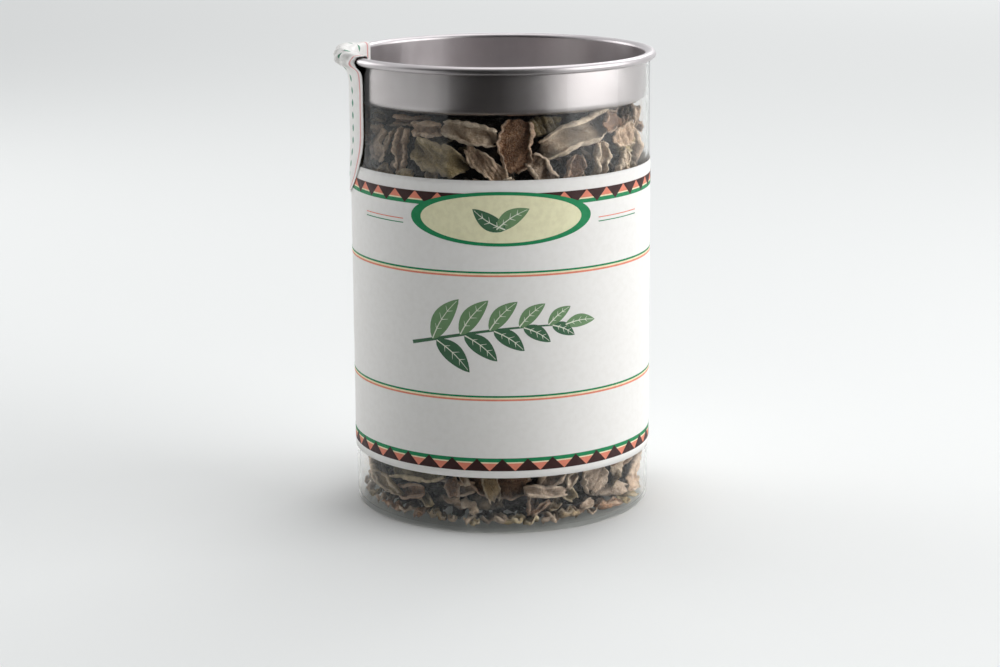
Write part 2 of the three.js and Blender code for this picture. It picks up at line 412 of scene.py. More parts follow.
cup_line = rounded([
    (0, LID_FLOOR + PANEL_STEP, 0),
    (PANEL_RADIUS, LID_FLOOR + PANEL_STEP, PANEL_CORNER),
    (PANEL_RADIUS + PANEL_STEP, LID_FLOOR, PANEL_CORNER),
    (cup_radius, LID_FLOOR, CUP_CORNER),
    (cup_radius, bead_middle - 0.1 * mm, 0),
])
roll = np.radians(np.linspace(180, -90, 28))[:, None]
bead_centre = np.array([cup_radius + bead_width / 2, bead_middle])
bead_line = bead_centre + np.hstack([np.cos(roll) * bead_width, np.sin(roll) * bead_height]) / 2
lid = turned("tinplate_lid", both_sides(np.concatenate([cup_line, bead_line]), SHEET))
finish(lid, "tinplate", tinplate(), "lid")
print(f"lid cup {2 * cup_radius / mm:.1f} mm wide, bead {2 * lid_high.x / mm:.1f} mm wide")

# %% [markdown]
# ## Paper
#
# Label paper is white and smooth, with a slight tooth that breaks up its shine and a faint cloud of
# thicker and thinner fibre. The label, the inks on it and the seal all share that surface, so it is
# a node group: it takes the sheet's own colour and gives back the colour, roughness and height.

# %% Paper group and materials


def paper_surface():
    """The group of all paper: clouds of fibre darken its colour, and a fine tooth gives it height."""
    group, given, result = new_group(
        "paper_surface",
        {"Colour": "Color", "Cloud": ("Float", 0.04), "Tooth": ("Float", 0.5)},
        {"Colour": "Color", "Roughness": "Float", "Height": "Float"},
    )
    place = node(group, "ShaderNodeTexCoord").outputs["Object"]
    fibre = noise(group, place, 700.0, 6.0)
    tooth = noise(group, place, 4200.0, 2.0)
    darker = mix_colour(group, 1.0, given["Colour"], colour(205, 200, 190), "MULTIPLY")
    amount = math_node(group, "MULTIPLY", ramp(group, fibre, 0.35, 0.7), given["Cloud"])
    group.links.new(mix_colour(group, amount, given["Colour"], darker), result["Colour"])
    group.links.new(ramp(group, fibre, 0.3, 0.7, 0.5, 0.66), result["Roughness"])
    group.links.new(math_node(group, "MULTIPLY", tooth, given["Tooth"]), result["Height"])
    return group


PAPER = paper_surface()


def paper_material(name, sheet_colour, cloud, tooth=0.5):
    """Paper or printed ink: the group's surface with one colour, or with the link that a function
    of the tree gives back. cloud and tooth are how plainly the fibre and the tooth show."""
    material, tree, out = new_material(name)
    given = sheet_colour(tree) if callable(sheet_colour) else sheet_colour
    surface = use_group(tree, PAPER, {"Colour": given, "Cloud": cloud, "Tooth": tooth})
    paper = node(tree, "ShaderNodeBsdfPrincipled", {
        "Base Color": surface["Colour"],
        "Roughness": surface["Roughness"],
        "Specular IOR Level": 0.35,
        "Normal": bump(tree, surface["Height"], 0.15, 0.1 * mm),
    })
    tree.links.new(paper.outputs[0], out.inputs["Surface"])
    return material


# %% [markdown]
# ## The label
#
# The label goes once round the tube and laps over its own start at the back. A point of it is given
# by its turn, which is how far round it lies from that start, and by its height. Print on the front
# is measured from the middle of the front instead. Glued paper is never quite smooth, so its radius
# swells here and there by a few hundredths of a millimetre. Print uses the same rule, a hair further
# out, so that it always lies on the paper.

# %% Label
LAP = math.radians(8)
ROUND = 2 * math.pi + LAP
SWELL = 0.03 * mm


def smooth_step(value, low, high):
    """0 below low, 1 above high, and a smooth rise between them."""
    share = np.clip((value - low) / (high - low), 0, 1)
    return share * share * (3 - 2 * share)


def on_label(turn, height, lift=0.0):
    """The point of the label's outside at turn, in radians round from its start at the back."""
    lap_rise = 2 * STAND_OFF * smooth_step(turn, 2 * math.pi - LAP, 2 * math.pi - LAP / 2)
    swell = SWELL * np.sin(5 * turn + 260 * height) * np.sin(3 * turn - 150 * height)
    radius = LABEL_RADIUS + lap_rise + np.abs(swell) + lift
    angle = math.pi / 2 - LAP / 2 + turn
    return np.stack([radius * np.cos(angle), radius * np.sin(angle), height + 0 * turn], -1)


def front(distance):
    """The turn of a point that lies distance metres to the right of the middle of the front."""
    return math.pi + LAP / 2 + distance / LABEL_RADIUS


u, v = grid(300, 60, 0, 1)
label_points = on_label(u * ROUND, label_low.z + v * (label_high.z - label_low.z), -LABEL_PAPER / 2)
shell, faces = thin_shell(label_points, np.full(u.shape, LABEL_PAPER))
label = piece("paper_label", shell, faces)
finish(label, "label_paper", paper_material("label_paper", colour(238, 236, 233), 0.07), "label")
print("label faces:", len(faces))

# %% [markdown]
# ## Print
#
# The label is printed with flat inks: a border of dark triangles over bands of salmon, cream and
# green at its top and its foot, and double rules across it. A printed shape is a sheet of ink that
# follows the label. A rule is a long strip. A triangle is a strip that narrows to its point.

# %% Ink helpers


def ink_strip(left, right, low, high, lift, columns=300):
    """An even strip of ink between two turns and two heights."""
    u, v = grid(columns, 1, 0, 1)
    return on_label(left + u * (right - left), low + v * (high - low), lift), columns, 1


def ink_triangle(middle, half_width, point_height, base_height, lift):
    """A triangle of ink: each row is as wide as its share of the way from point to base."""
    u, v = grid(6, 4, 0, 1)
    share = 0.01 + 0.99 * v
    turn = middle + (2 * u - 1) * share * half_width / LABEL_RADIUS
    return on_label(turn, point_height + v * (base_height - point_height), lift), 6, 4


def ink_leaf(x, y, length, width, angle, lift, share=1.0):
    """A leaf of ink: a lens that starts at (x, y) on the flat label and runs off at angle."""
    u, v = grid(12, 4, 0, 1)
    along = u * length
    outline = np.sin(math.pi * u ** 0.85) ** 0.8
    across = (2 * v - 1) * width / 2 * outline * share
    across += 0.06 * length * np.sin(math.pi * u)
    right = x + along * math.cos(angle) - across * math.sin(angle)
    up = y + along * math.sin(angle) + across * math.cos(angle)
    return on_label(front(right), up, lift), 12, 4


def ink_stroke(places, width, lift):
    """A pen stroke of ink along a line of (x, y) places on the flat label, fine at its end."""
    places = np.asarray(places, float)
    along = np.gradient(places, axis=0)
    along /= np.linalg.norm(along, axis=1, keepdims=True)
    half = width / 2 * np.linspace(1, 0.35, len(places))[:, None]
    side = np.stack([-along[:, 1], along[:, 0]], 1) * half
    edges = np.stack([places - side, places + side])
    return on_label(front(edges[..., 0]), edges[..., 1], lift), len(places) - 1, 1


def ink_oval(height, half_width, half_height, inner, outer, lift):
    """Part of an oval on the front: from the share inner to the share outer of its half axes."""
    u, v = grid(96, 24, 0, 1)
    share = inner + (outer - inner) * v
    right = share * half_width * np.cos(2 * math.pi * u)
    up = share * half_height * np.sin(2 * math.pi * u)
    return on_label(front(right), height + up, lift), 96, 24


def print_ink(name, ink_colour, shapes):
    """One piece for all the shapes in one ink, facing outwards."""
    points, faces, start = [], [], 0
    for shape, columns, rows in shapes:
        points.append(shape.reshape(-1, 3))
        faces.append(grid_faces(columns, rows, start))
        start += len(points[-1])
    points, faces = np.concatenate(points), np.concatenate(faces)
    middle = points[faces].mean(1)
    first, second = points[faces[:, 1]] - points[faces[:, 0]], points[faces[:, 3]] - points[faces[:, 0]]
    inwards = np.einsum("ij,ij->i", np.cross(first, second)[:, :2], middle[:, :2]) < 0
    faces[inwards] = faces[inwards][:, ::-1]
    made = piece(name, points, faces)
    return finish(made, "label_paper", paper_material(name, ink_colour, 0.2, 0.3))


# %% [markdown]
# The border has 38 triangles round the jar. The dark ones stand on the border's outer edge and their
# points reach its inner edge, over the three bands. The same border is printed twice, and at the
# label's foot it is upside down.

# %% Borders and rules
UNDER, OVER, BADGE, TOP = (lift * mm for lift in (0.03, 0.05, 0.07, 0.09))
TOP_MARGIN, FOOT_MARGIN, BORDER = 3.2 * mm, 1.8 * mm, 3.2 * mm
SALMON_BAND, CREAM_BAND = 0.6, 0.7
TRIANGLES = 38
pitch = 2 * math.pi / TRIANGLES

salmon, cream, green, brown = [], [], [], []
for outer, inner in (
    (label_high.z - TOP_MARGIN, label_high.z - TOP_MARGIN - BORDER),
    (label_low.z + FOOT_MARGIN, label_low.z + FOOT_MARGIN + BORDER),
):
    def band(share):
        """The height that lies a share of the way from the border's outer edge to its inner one."""
        return outer + share * (inner - outer)

    salmon.append(ink_strip(0, ROUND, band(0), band(SALMON_BAND), UNDER))
    cream.append(ink_strip(0, ROUND, band(SALMON_BAND), band(CREAM_BAND), UNDER))
    green.append(ink_strip(0, ROUND, band(CREAM_BAND), band(1), UNDER))
    for number in range(TRIANGLES + 1):
        middle = front(0) + (number - TRIANGLES / 2) * pitch
        brown.append(ink_triangle(middle, pitch * LABEL_RADIUS / 2, band(0.96), band(0), OVER))

RULE, RULE_GAP = 0.45 * mm, 0.4 * mm
upper_rule, lower_rule = label_high.z - 22.3 * mm, label_high.z - 53.0 * mm
for height in (upper_rule, lower_rule):
    green.append(ink_strip(0, ROUND, height - RULE / 2, height + RULE / 2, UNDER))
    cream.append(ink_strip(0, ROUND, height - RULE / 2 - RULE_GAP, height - RULE / 2, UNDER))
    below = height - RULE / 2 - RULE_GAP
    salmon.append(ink_strip(0, ROUND, below - RULE, below, UNDER))
print("dark triangles printed:", len(brown))

# %% [markdown]
# ## The sage sprig and the badge on the label
#
# The middle of the label carries a drawing of a sage sprig: one stem with pairs of leaves that grow
# smaller towards its tip, each leaf with a pale midrib and side veins. Over the border sits a plain
# oval badge with a green edge and two crossed leaves, between two pairs of short rules. All of it is
# drawn from rules, so it is nobody's mark.

# %% Sprig and badge
SPRIG_MIDDLE = (upper_rule + lower_rule) / 2 + 1.0 * mm
STEM = (-23 * mm, 17 * mm, SPRIG_MIDDLE - 4 * mm, 5 * mm)
leaf_green, deep_green, vein_ink, badge_cream = [], [], [], []


def stem_at(share, left, right, base, rise):
    """A point on the sprig's gently curved stem, share of the way from left to right."""
    return left + share * (right - left), base + rise * math.sin(1.9 * share)


def draw_leaf(x, y, length, width, angle, ink, lift=UNDER):
    """One leaf of the drawing, with its midrib and three pairs of side veins a little higher."""
    ink.append(ink_leaf(x, y, length, width, angle, lift))
    over = lift + OVER - UNDER
    ribs = np.linspace(0.02, 0.94, 14)
    bow = 0.06 * length * np.sin(math.pi * ribs)
    rib_x = x + ribs * length * math.cos(angle) - bow * math.sin(angle)
    rib_y = y + ribs * length * math.sin(angle) + bow * math.cos(angle)
    vein_ink.append(ink_stroke(np.stack([rib_x, rib_y], 1), 0.32 * mm, over))
    for place in (3, 6, 9):
        for side in (-1, 1):
            reach = width * 0.36 * math.sin(math.pi * ribs[place] ** 0.85)
            slant = angle + side * math.radians(48)
            ends = np.linspace(0, reach, 4)
            vein_x = rib_x[place] + ends * math.cos(slant)
            vein_y = rib_y[place] + ends * math.sin(slant)
            vein_ink.append(ink_stroke(np.stack([vein_x, vein_y], 1), 0.2 * mm, over))


stem = [stem_at(share, *STEM) for share in np.linspace(0, 1, 24)]
deep_green.append(ink_stroke(stem, 0.9 * mm, UNDER))
for pair in range(5):
    x, y = stem_at(0.14 + pair * 0.18, *STEM)
    length, width = (12.5 - 1.3 * pair) * mm, (4.9 - 0.45 * pair) * mm
    draw_leaf(x, y, length, width, math.radians(56 - 5 * pair), leaf_green)
    draw_leaf(x + 1 * mm, y, length * 0.92, width, math.radians(-42 + 4 * pair), deep_green)
draw_leaf(*stem_at(0.97, *STEM), 8.5 * mm, 3.2 * mm, 0.05, leaf_green)

badge = label_high.z - 9.3 * mm
BADGE_SIZE = (23 * mm, 6.6 * mm)
badge_cream.append(ink_oval(badge, *BADGE_SIZE, 0.0, 0.9, BADGE))
green.append(ink_oval(badge, *BADGE_SIZE, 0.88, 1.0, TOP))
draw_leaf(-1.2 * mm, badge - 2.6 * mm, 9.5 * mm, 4 * mm, math.radians(32), leaf_green, TOP)
draw_leaf(1.2 * mm, badge - 2.6 * mm, 9.5 * mm, 4 * mm, math.radians(148), deep_green, TOP)
for side in (-1, 1):
    ends = sorted((front(side * 25.5 * mm), front(side * 40 * mm)))
    salmon.append(ink_strip(*ends, badge - 1.2 * mm, badge - 1.2 * mm + RULE / 2, UNDER, 40))
    green.append(ink_strip(*ends, badge - 2.2 * mm, badge - 2.2 * mm + RULE / 2, UNDER, 40))

inks = [
    ("ink_salmon", (232, 138, 112), salmon),
    ("ink_cream", (244, 232, 196), cream),
    ("ink_badge_cream", (238, 234, 196), badge_cream),
    ("ink_green", (10, 138, 84), green),
    ("ink_brown", (58, 24, 22), brown),
    ("ink_leaf_green", (112, 148, 104), leaf_green),
    ("ink_deep_green", (66, 108, 78), deep_green),
    ("ink_veins", (226, 232, 214), vein_ink),
]
for name, screen_colour, shapes in inks:
    print_ink(name, colour(*screen_colour), shapes)
    print(f"{name}: {len(shapes)} shapes")

# %% [markdown]
# ## The tamper seal
#
# The seal is a strip of thin paper glued inside the cup, carried over the bead in a small puckered
# loop, and glued down the tube and over the top of the label, where it ends in a round tip. Its line
# in section is a smooth curve through a few points. The loop is slack only in its middle: towards
# both edges the line becomes a tight one that hugs the bead. Paper that is pushed together breaks
# into folds, so the loop has creases, drawn by the sharp-cornered wave |sin|, and the glued part
# only faint ripples.

# %% Seal shape
SEAL_PAPER = 0.12 * mm
SEAL_HALF_ANGLE = math.radians(25.5)
SEAL_SIDE = math.radians(182)
SEAL_TIP_LENGTH = 17 * mm


def smooth_curve(points, steps):
    """A Catmull-Rom curve: between two points it is the cubic that also heeds their neighbours."""
    points = np.asarray(points, float)
    padded = np.concatenate([2 * points[:1] - points[1:2], points, 2 * points[-1:] - points[-2:-1]])
    place = np.linspace(0, len(points) - 1, steps + 1)
    index = np.minimum(place.astype(int), len(points) - 2)
    t = (place - index)[:, None]
    a, b, c, d = (padded[index + k] for k in range(4))
    squared, cubed = 2 * a - 5 * b + 4 * c - d, 3 * b - a - 3 * c + d
    return 0.5 * (2 * b + (c - a) * t + squared * t ** 2 + cubed * t ** 3)


def creases(across, along, tilt, spacing):
    """Folds that run at a tilt over the paper, one every spacing: -0.5 in a fold, up to 0.5 between."""
    return np.abs(np.sin(math.pi * (across * math.cos(tilt) + along * math.sin(tilt)) / spacing)) - 0.5


inside_cup = cup_radius - SHEET / 2 - 0.2 * mm
on_tube = TUBE_RADIUS + 0.2 * mm
over_label = LABEL_RADIUS + 0.2 * mm
rim = lid_high.z
glued_inside = [(inside_cup, rim - 8 * mm), (inside_cup, rim - 2.5 * mm)]
glued_outside = [
    (on_tube, rim - 13 * mm),
    (on_tube, label_high.z + 5 * mm),
    (over_label, label_high.z - 0.5 * mm),
    (over_label, seal_low.z),
]
loop = [
    (inside_cup + 0.3 * mm, rim + 0.2 * mm),
    (TUBE_RADIUS + 0.3 * mm, rim + 0.7 * mm),
    (TUBE_RADIUS + 2.3 * mm, rim + 1.0 * mm),
    (TUBE_RADIUS + 3.5 * mm, rim - 0.3 * mm),
    (TUBE_RADIUS + 3.2 * mm, rim - 2.0 * mm),
    (TUBE_RADIUS + 1.8 * mm, rim - 3.3 * mm),
    (TUBE_RADIUS + 0.7 * mm, rim - 5 * mm),
    (on_tube + 0.1 * mm, rim - 8 * mm),
]
tight = [
    (inside_cup + 0.2 * mm, rim + 0.1 * mm),
    (TUBE_RADIUS + 0.2 * mm, rim + 0.4 * mm),
    (TUBE_RADIUS + 1.5 * mm, rim + 0.1 * mm),
    (TUBE_RADIUS + 2.0 * mm, rim - 0.9 * mm),
    (TUBE_RADIUS + 1.9 * mm, rim - 2.0 * mm),
    (TUBE_RADIUS + 1.0 * mm, rim - 3.0 * mm),
    (TUBE_RADIUS + 0.4 * mm, rim - 4.4 * mm),
    (on_tube, rim - 8 * mm),
]
seal_line = smooth_curve(glued_inside + loop + glued_outside, 260)
edge_line = smooth_curve(glued_inside + tight + glued_outside, 260)
steps_along = np.linalg.norm(np.diff(seal_line, axis=0, prepend=seal_line[:1]), axis=1)

u, _ = grid(80, 260)
along = np.cumsum(steps_along)[:, None] + 0 * u
hug = smooth_step(np.abs(u), 0.45, 0.95)[..., None]
line_radius, line_height = np.moveaxis(seal_line[:, None] * (1 - hug) + edge_line[:, None] * hug, 2, 0)
into_tip = np.clip(1 - (line_height - seal_low.z) / SEAL_TIP_LENGTH, 0, 1)
half_angle = SEAL_HALF_ANGLE * np.maximum(0.08, (1 - into_tip ** 2) ** 0.6)
across = u * half_angle * TUBE_RADIUS
looseness = np.clip((line_radius - TUBE_RADIUS - 0.7 * mm) / (2.6 * mm), 0, 1)
folds = creases(across, along, 0.3, 4.1 * mm) + 0.7 * creases(across, along, -0.9, 5.3 * mm)
folds += 0.5 * creases(across, along, 1.2, 2.9 * mm)
ripple = np.sin(across / (5.1 * mm) + along / (7 * mm)) * np.sin(across / (9 * mm) - along / (6 * mm))
radius = line_radius + looseness * 0.9 * mm * (folds - 0.4) + 0.1 * mm * np.abs(ripple)
height = line_height + looseness * 0.6 * mm * (creases(across, along, -0.2, 3.7 * mm) - 0.2)
pucker = 1 - 0.12 * looseness
angle = SEAL_SIDE + u * half_angle * pucker
seal_points = np.stack([radius * np.cos(angle), radius * np.sin(angle), height], -1)
from_edge = (1 - np.abs(u)) * half_angle * TUBE_RADIUS
shell, faces = thin_shell(seal_points, np.full(u.shape, SEAL_PAPER))
measures = {"from_edge": np.tile(from_edge.ravel() / mm, 2), "along": np.tile(along.ravel() / mm, 2)}
seal = piece("tamper_seal", shell, faces, measures)
print(f"seal strip {2 * SEAL_HALF_ANGLE * TUBE_RADIUS / mm:.1f} mm wide")

# %% [markdown]
# A fine pink line is printed along each edge of the seal and follows the edge round the tip, and
# inside it runs a row of small green leaves. The strip carries two numbers at each point, both in
# millimetres: its distance from the nearest edge and its distance along the strip. The colour is
# chosen by them.

# %% Seal colour
LINE_FROM_EDGE, LEAVES_FROM_EDGE, LEAF_PITCH = 1.7, 8.0, 3.1


def seal_colour(tree):
    """White paper, a pink line near the edge, and a lens of green in the middle of each pitch."""
    from_edge = node(tree, "ShaderNodeAttribute", attribute_name="from_edge").outputs["Fac"]
    along = node(tree, "ShaderNodeAttribute", attribute_name="along").outputs["Fac"]
    off_line = math_node(tree, "ABSOLUTE", math_node(tree, "SUBTRACT", from_edge, LINE_FROM_EDGE))
    on_line = ramp(tree, off_line, 0.3, 0.45, 1.0, 0.0)
    result = mix_colour(tree, on_line, colour(238, 236, 233), colour(226, 160, 158))
    in_pitch = math_node(tree, "FRACT", math_node(tree, "DIVIDE", along, LEAF_PITCH))
    from_middle = math_node(tree, "ABSOLUTE", math_node(tree, "SUBTRACT", in_pitch, 0.5))
    leaf_width = ramp(tree, from_middle, 0.05, 0.4, 0.9, 0.0)
    off_row = math_node(tree, "ABSOLUTE", math_node(tree, "SUBTRACT", from_edge, LEAVES_FROM_EDGE))
    inside = math_node(tree, "SUBTRACT", leaf_width, off_row)
    return mix_colour(tree, ramp(tree, inside, 0.0, 0.12), result, colour(70, 140, 110))


finish(seal, "seal_paper", paper_material("seal_paper", seal_colour, 0.12, 0.8), "seal_strip")

# %% [markdown]
# ## Dried sage
#
# A sage leaf is covered in short pale hairs. Fresh, it is grey-green, and dried it is beige, grey or
# olive, and in places brown. Under the felt lies a very fine net of sunken veins. The felt makes the
# leaf matt. The rolled margins are paler, where the pale felt of the underside shows, and they also
# carry a painted highlight; painted shade darkens the leaf along the midrib and in the folds. A node
# group makes all of that, and each of the leaf colours uses it with its own values. Every leaf
# carries two numbers at its points: its tone, with a painted shade in it, and how near a point is to
# the margin. Little light reaches the leaves deep in the jar, so that painted shade lowers the tone
# with the distance from the wall.

# %% Leaf material


def leaf_skin():
    """The group of all leaves: felt with blotches, darker in the net of veins, with painted shade in the
    folds and along the midrib, lighter on hairs, and on the margins pale underside felt with a painted
    highlight. Its height adds up the net's cells, the folds and the hairs."""
    group, given, result = new_group(
        "leaf_skin",
        {
            **dict.fromkeys(("Felt", "Vein", "Blotch"), "Color"),
            **dict.fromkeys(("Tone_and_depth_shade", "Margin", "Net"), "Float"),
        },
        {"Colour": "Color", "Height": "Float"},
    )
    place = node(group, "ShaderNodeTexCoord").outputs["Object"]
    waver = node(group, "ShaderNodeTexNoise", {"Vector": place, "Scale": 500.0, "Detail": 2.0})
    amount = {0: waver.outputs["Color"], 1: (0.0006,) * 3}
    bent = node(group, "ShaderNodeVectorMath", amount, operation="MULTIPLY").outputs[0]
    moved = node(group, "ShaderNodeVectorMath", {0: place, 1: bent}, operation="ADD").outputs[0]
    cells = {"Vector": moved, "Scale": 2100.0}
    net = node(group, "ShaderNodeTexVoronoi", cells, feature="DISTANCE_TO_EDGE").outputs["Distance"]
    pebble = ramp(group, net, 0.0, 0.3)
    folds = noise(group, place, 900.0, 4.0)
    hairs = noise(group, place, 6000.0, 3.0)
    blotched = ramp(group, noise(group, place, 230.0, 5.0), 0.48, 0.72, 0.0, 0.75)
    in_net = math_node(group, "MULTIPLY", ramp(group, pebble, 0.0, 0.7, 1.0, 0.0), given["Net"])
    # Painted shade: the leaf is darkened where the fold height is low, in the valleys of the folds.
    painted_shade_in_folds = ramp(group, folds, 0.35, 0.6, 0.45, 0.0)
    # Painted shade: darker along the midrib, at the bottom of the leaf's gutter.
    painted_shade_on_midrib = ramp(group, given["Margin"], 0.0, 0.6, 0.35, 0.0)
    haired = ramp(group, hairs, 0.45, 0.7, 0.0, 0.25)
    # Lighter on the rolled margins: the pale underside felt, and with it a painted highlight on the
    # rims.
    pale_felt_and_highlight_on_margin = ramp(group, given["Margin"], 0.6, 0.9, 0.0, 0.25)
    surface = mix_colour(group, blotched, given["Felt"], given["Blotch"])
    for dark in (in_net, painted_shade_in_folds, painted_shade_on_midrib):
        surface = mix_colour(group, dark, surface, given["Vein"])
    for light in (haired, pale_felt_and_highlight_on_margin):
        surface = mix_colour(group, light, surface, colour(240, 226, 206))
    # This value darkens the colour: it carries a painted depth shade as well as the leaf's own tone.
    toned_and_shaded = node(group, "ShaderNodeHueSaturation", {"Color": surface, "Value": given["Tone_and_depth_shade"]})
    group.links.new(toned_and_shaded.outputs[0], result["Colour"])
    height = math_node(group, "MULTIPLY", pebble, given["Net"])
    height = math_node(group, "ADD", height, math_node(group, "MULTIPLY", folds, 1.5))
    height = math_node(group, "ADD", height, math_node(group, "MULTIPLY", hairs, 0.3))
    group.links.new(height, result["Height"])
    return group


SKIN = leaf_skin()


def leaf_material(slot, felt, vein, blotch, net):
    """One colour of dried leaf: its felt, its sunken veins and the blotches where the felt is worn."""
    material, tree, out = new_material(slot)
    # This attribute is the leaf's own random tone times a painted shade that darkens it with depth in
    # the jar.
    tone_and_depth_shade = node(tree, "ShaderNodeAttribute", attribute_name="tone_and_depth_shade").outputs["Fac"]
    margin = node(tree, "ShaderNodeAttribute", attribute_name="margin").outputs["Fac"]
    given = {"Felt": felt, "Vein": vein, "Blotch": blotch, "Tone_and_depth_shade": tone_and_depth_shade, "Margin": margin, "Net": net}
    surface = use_group(tree, SKIN, given)
    leaf = node(tree, "ShaderNodeBsdfPrincipled", {
        "Base Color": surface["Colour"],
        "Roughness": 0.95,
        "Specular IOR Level": 0.12,
        "Sheen Weight": 0.15,
        "Sheen Roughness": 0.5,
        "Normal": bump(tree, surface["Height"], 1.0, 0.4 * mm),
    })
    tree.links.new(leaf.outputs[0], out.inputs["Surface"])
    return material


# each row: the felt, the veins, the blotches, and how plainly the net of veins shows
LEAF_COLOURS = {
    "leaf_beige": ((240, 211, 182), (120, 84, 60), (196, 160, 124), 0.3),
    "leaf_olive": ((214, 192, 146), (92, 72, 38), (166, 142, 84), 0.3),
    "leaf_pale": ((240, 221, 196), (150, 116, 88), (222, 190, 156), 0.3),
    "leaf_dark_olive": ((174, 148, 108), (64, 44, 26), (116, 90, 52), 0.3),
    "leaf_brown": ((200, 152, 114), (88, 54, 34), (150, 102, 66), 0.6),
    "leaf_grey": ((228, 204, 180), (108, 82, 66), (184, 156, 130), 0.3),
}
LEAF_LOOKS = {
    slot: leaf_material(slot, colour(*felt), colour(*vein), colour(*blotch), net)
    for slot, (felt, vein, blotch, net) in LEAF_COLOURS.items()
}
print("leaf looks:", ", ".join(LEAF_LOOKS))

# %% [markdown]
# ## One dried leaf
#
# A drying sage leaf shrinks into a strip: it folds into a gutter along its midrib, and its long
# margins roll up into thick soft rims. Cut and handled, it breaks across, so its ends are torn. The
# section is worked out as a bent wire is: at each place across the leaf there is a direction, and
# the wire is the running sum of short steps in those directions. The direction turns evenly for the
# gutter, and then fast near the margin for the rim. Along the leaf come an arch, a twist and a few
# crumples, and the midrib and the side veins are fine creases. All of it is in the leaf's own
# directions: along it, across it and out of it.

# %% Leaf shape
FOLD = 3.0  # a patch bent by gutter turns 2 * gutter * t; a dry leaf is folded half as much again
LEAF_THICKNESS = 0.46 * mm
WAVE_HEIGHT, SHARP_FOLD_HEIGHT = 0.34 * mm, 0.24 * mm
MIDRIB_DEPTH, MIDRIB_WIDTH = 0.2 * mm, 0.45 * mm
VEIN_DEPTH, VEIN_PITCH, VEIN_SLANT = 0.06 * mm, 2.3 * mm, 2.6 * mm
# Painted shade: a leaf's colour is darkened by its depth in the jar, standing in for the shade between
# packed leaves. The next two values are the share of colour kept deepest and where that painted shade
# ends and begins.
DEEP_SHADE_TONE = 0.06  # the share of its colour that a leaf keeps deep in the jar
SHADE_DEPTHS = (30.5 * mm, 35 * mm)  # the distances from the axis where the dimming ends and begins


def running_sum(steps):
    """Adds steps up from the middle row outwards, so that the middle of the leaf stays in place."""
    total = np.concatenate([np.zeros_like(steps[:1]), np.cumsum(steps, axis=0)])
    return total - total[len(total) // 2]


def waves(random, u, v, count, size, shape=np.sin):
    """A sum of slanted waves of a shape, each with its own random slant: about size high."""
    result = 0 * u
    for _ in range(count):
        across, along, start = random.uniform(1, 4), random.uniform(2, 7), random.uniform(0, 6)
        result += size * random.uniform(0.4, 1) * shape(along * u + across * v + start)
    return result


def sharp_fold(phase):
    """A wave with round tops and sharp valleys, as in paper that has been crumpled."""
    return 2 * np.abs(np.sin(phase)) - 1.3


def leaf_points(length, width, bend, seed, columns, rows):
    """A grid of points of one leaf in its own directions, its thickness there and its margin value.
    bend holds the gutter, arch and twist of the patch, per metre."""
    random = np.random.default_rng(seed)
    gutter, arch, twist = bend
    u, v = grid(columns, rows)
    v = v * (1.35 - 0.35 * v ** 2)
    side = np.sign(v)
    taper = random.uniform(-0.2, 0.2)
    outline = 1.08 - 0.4 * np.abs(u) ** random.uniform(2.5, 5) + taper * u
    outline += waves(random, u, 1.7 * side, 3, 0.09) + 0.05 * np.sin(19 * u + 5 * side + seed)
    t = v * width / 2 * np.clip(outline, 0.3, 1.25)
    torn = waves(random, 0 * u, v * 2, 3, 0.05) + 0.03 * np.sin(11 * v + seed)
    s = u * length / 2 * (0.97 + torn * np.abs(u) ** 2)

    turn_up = 1 if random.random() < 0.9 else -1
    tightness = random.uniform(1.6, 3.2)
    tightness = tightness * (1 + 0.35 * np.sin(random.uniform(2, 5) * u + 2 * side + seed))
    rim_turn = turn_up * tightness * smooth_step(np.abs(v), 0.45, 1.0) * side
    direction = FOLD * gutter * t + rim_turn
    between = (direction[1:] + direction[:-1]) / 2
    step = np.diff(t, axis=0)
    across, rise = running_sum(np.cos(between) * step), running_sum(np.sin(between) * step)

    rise = rise + arch * s ** 2 + twist * s * across
    rise = rise + waves(random, u, v, 4, WAVE_HEIGHT)
    rise = rise + waves(random, 1.4 * u, 2 * v, 3, SHARP_FOLD_HEIGHT, sharp_fold)
    rise = rise - MIDRIB_DEPTH * np.exp(-((t / MIDRIB_WIDTH) ** 2))
    slant = (s / VEIN_PITCH - np.abs(t) / VEIN_SLANT + random.uniform(0, 1)) % 1 - 0.5
    rise = rise - VEIN_DEPTH * np.exp(-((slant / 0.12) ** 2)) * (1 - np.abs(v) ** 4)
    thickness = LEAF_THICKNESS * (1 - 0.4 * np.maximum(np.abs(u), np.abs(v)) ** 8)
    return np.stack([s, across, rise], -1), thickness, np.abs(v)


def leaf_shell(place, directions, size, bend, seed, columns, rows):
    """The closed thin body of a leaf at its place in the jar, and its attributes. directions are
    its along, across and out vectors, as the rows of an array."""
    points, thickness, margin = leaf_points(*size, bend, seed, columns, rows)
    shell, faces = thin_shell(place + points @ directions, thickness)
    # The leaf's own tone is random; then a painted shade lowers it towards the axis, standing in for the
    # shade deep among the packed leaves.
    tone_and_depth_shade = np.random.default_rng(seed + 1).uniform(0.98, 1.15)
    from_axis = np.hypot(shell[:, 0], shell[:, 1])
    painted_depth_shade = DEEP_SHADE_TONE + (1 - DEEP_SHADE_TONE) * smooth_step(from_axis, *SHADE_DEPTHS)
    return shell, faces, {"tone_and_depth_shade": tone_and_depth_shade * painted_depth_shade, "margin": np.tile(margin.ravel(), 2)}


# %% [markdown]
# ## The leaves that the CAD places
#
# Each CAD leaf is a plain bent patch. Its place, its directions, its size and its bends are read
# back from its mesh: the directions are the axes along which its points spread most and least, and
# the bends come from the curved patch that fits those points best. The detailed leaf then grows on
# the same patch, in the space that the CAD keeps for it.

# %% Read a CAD leaf back


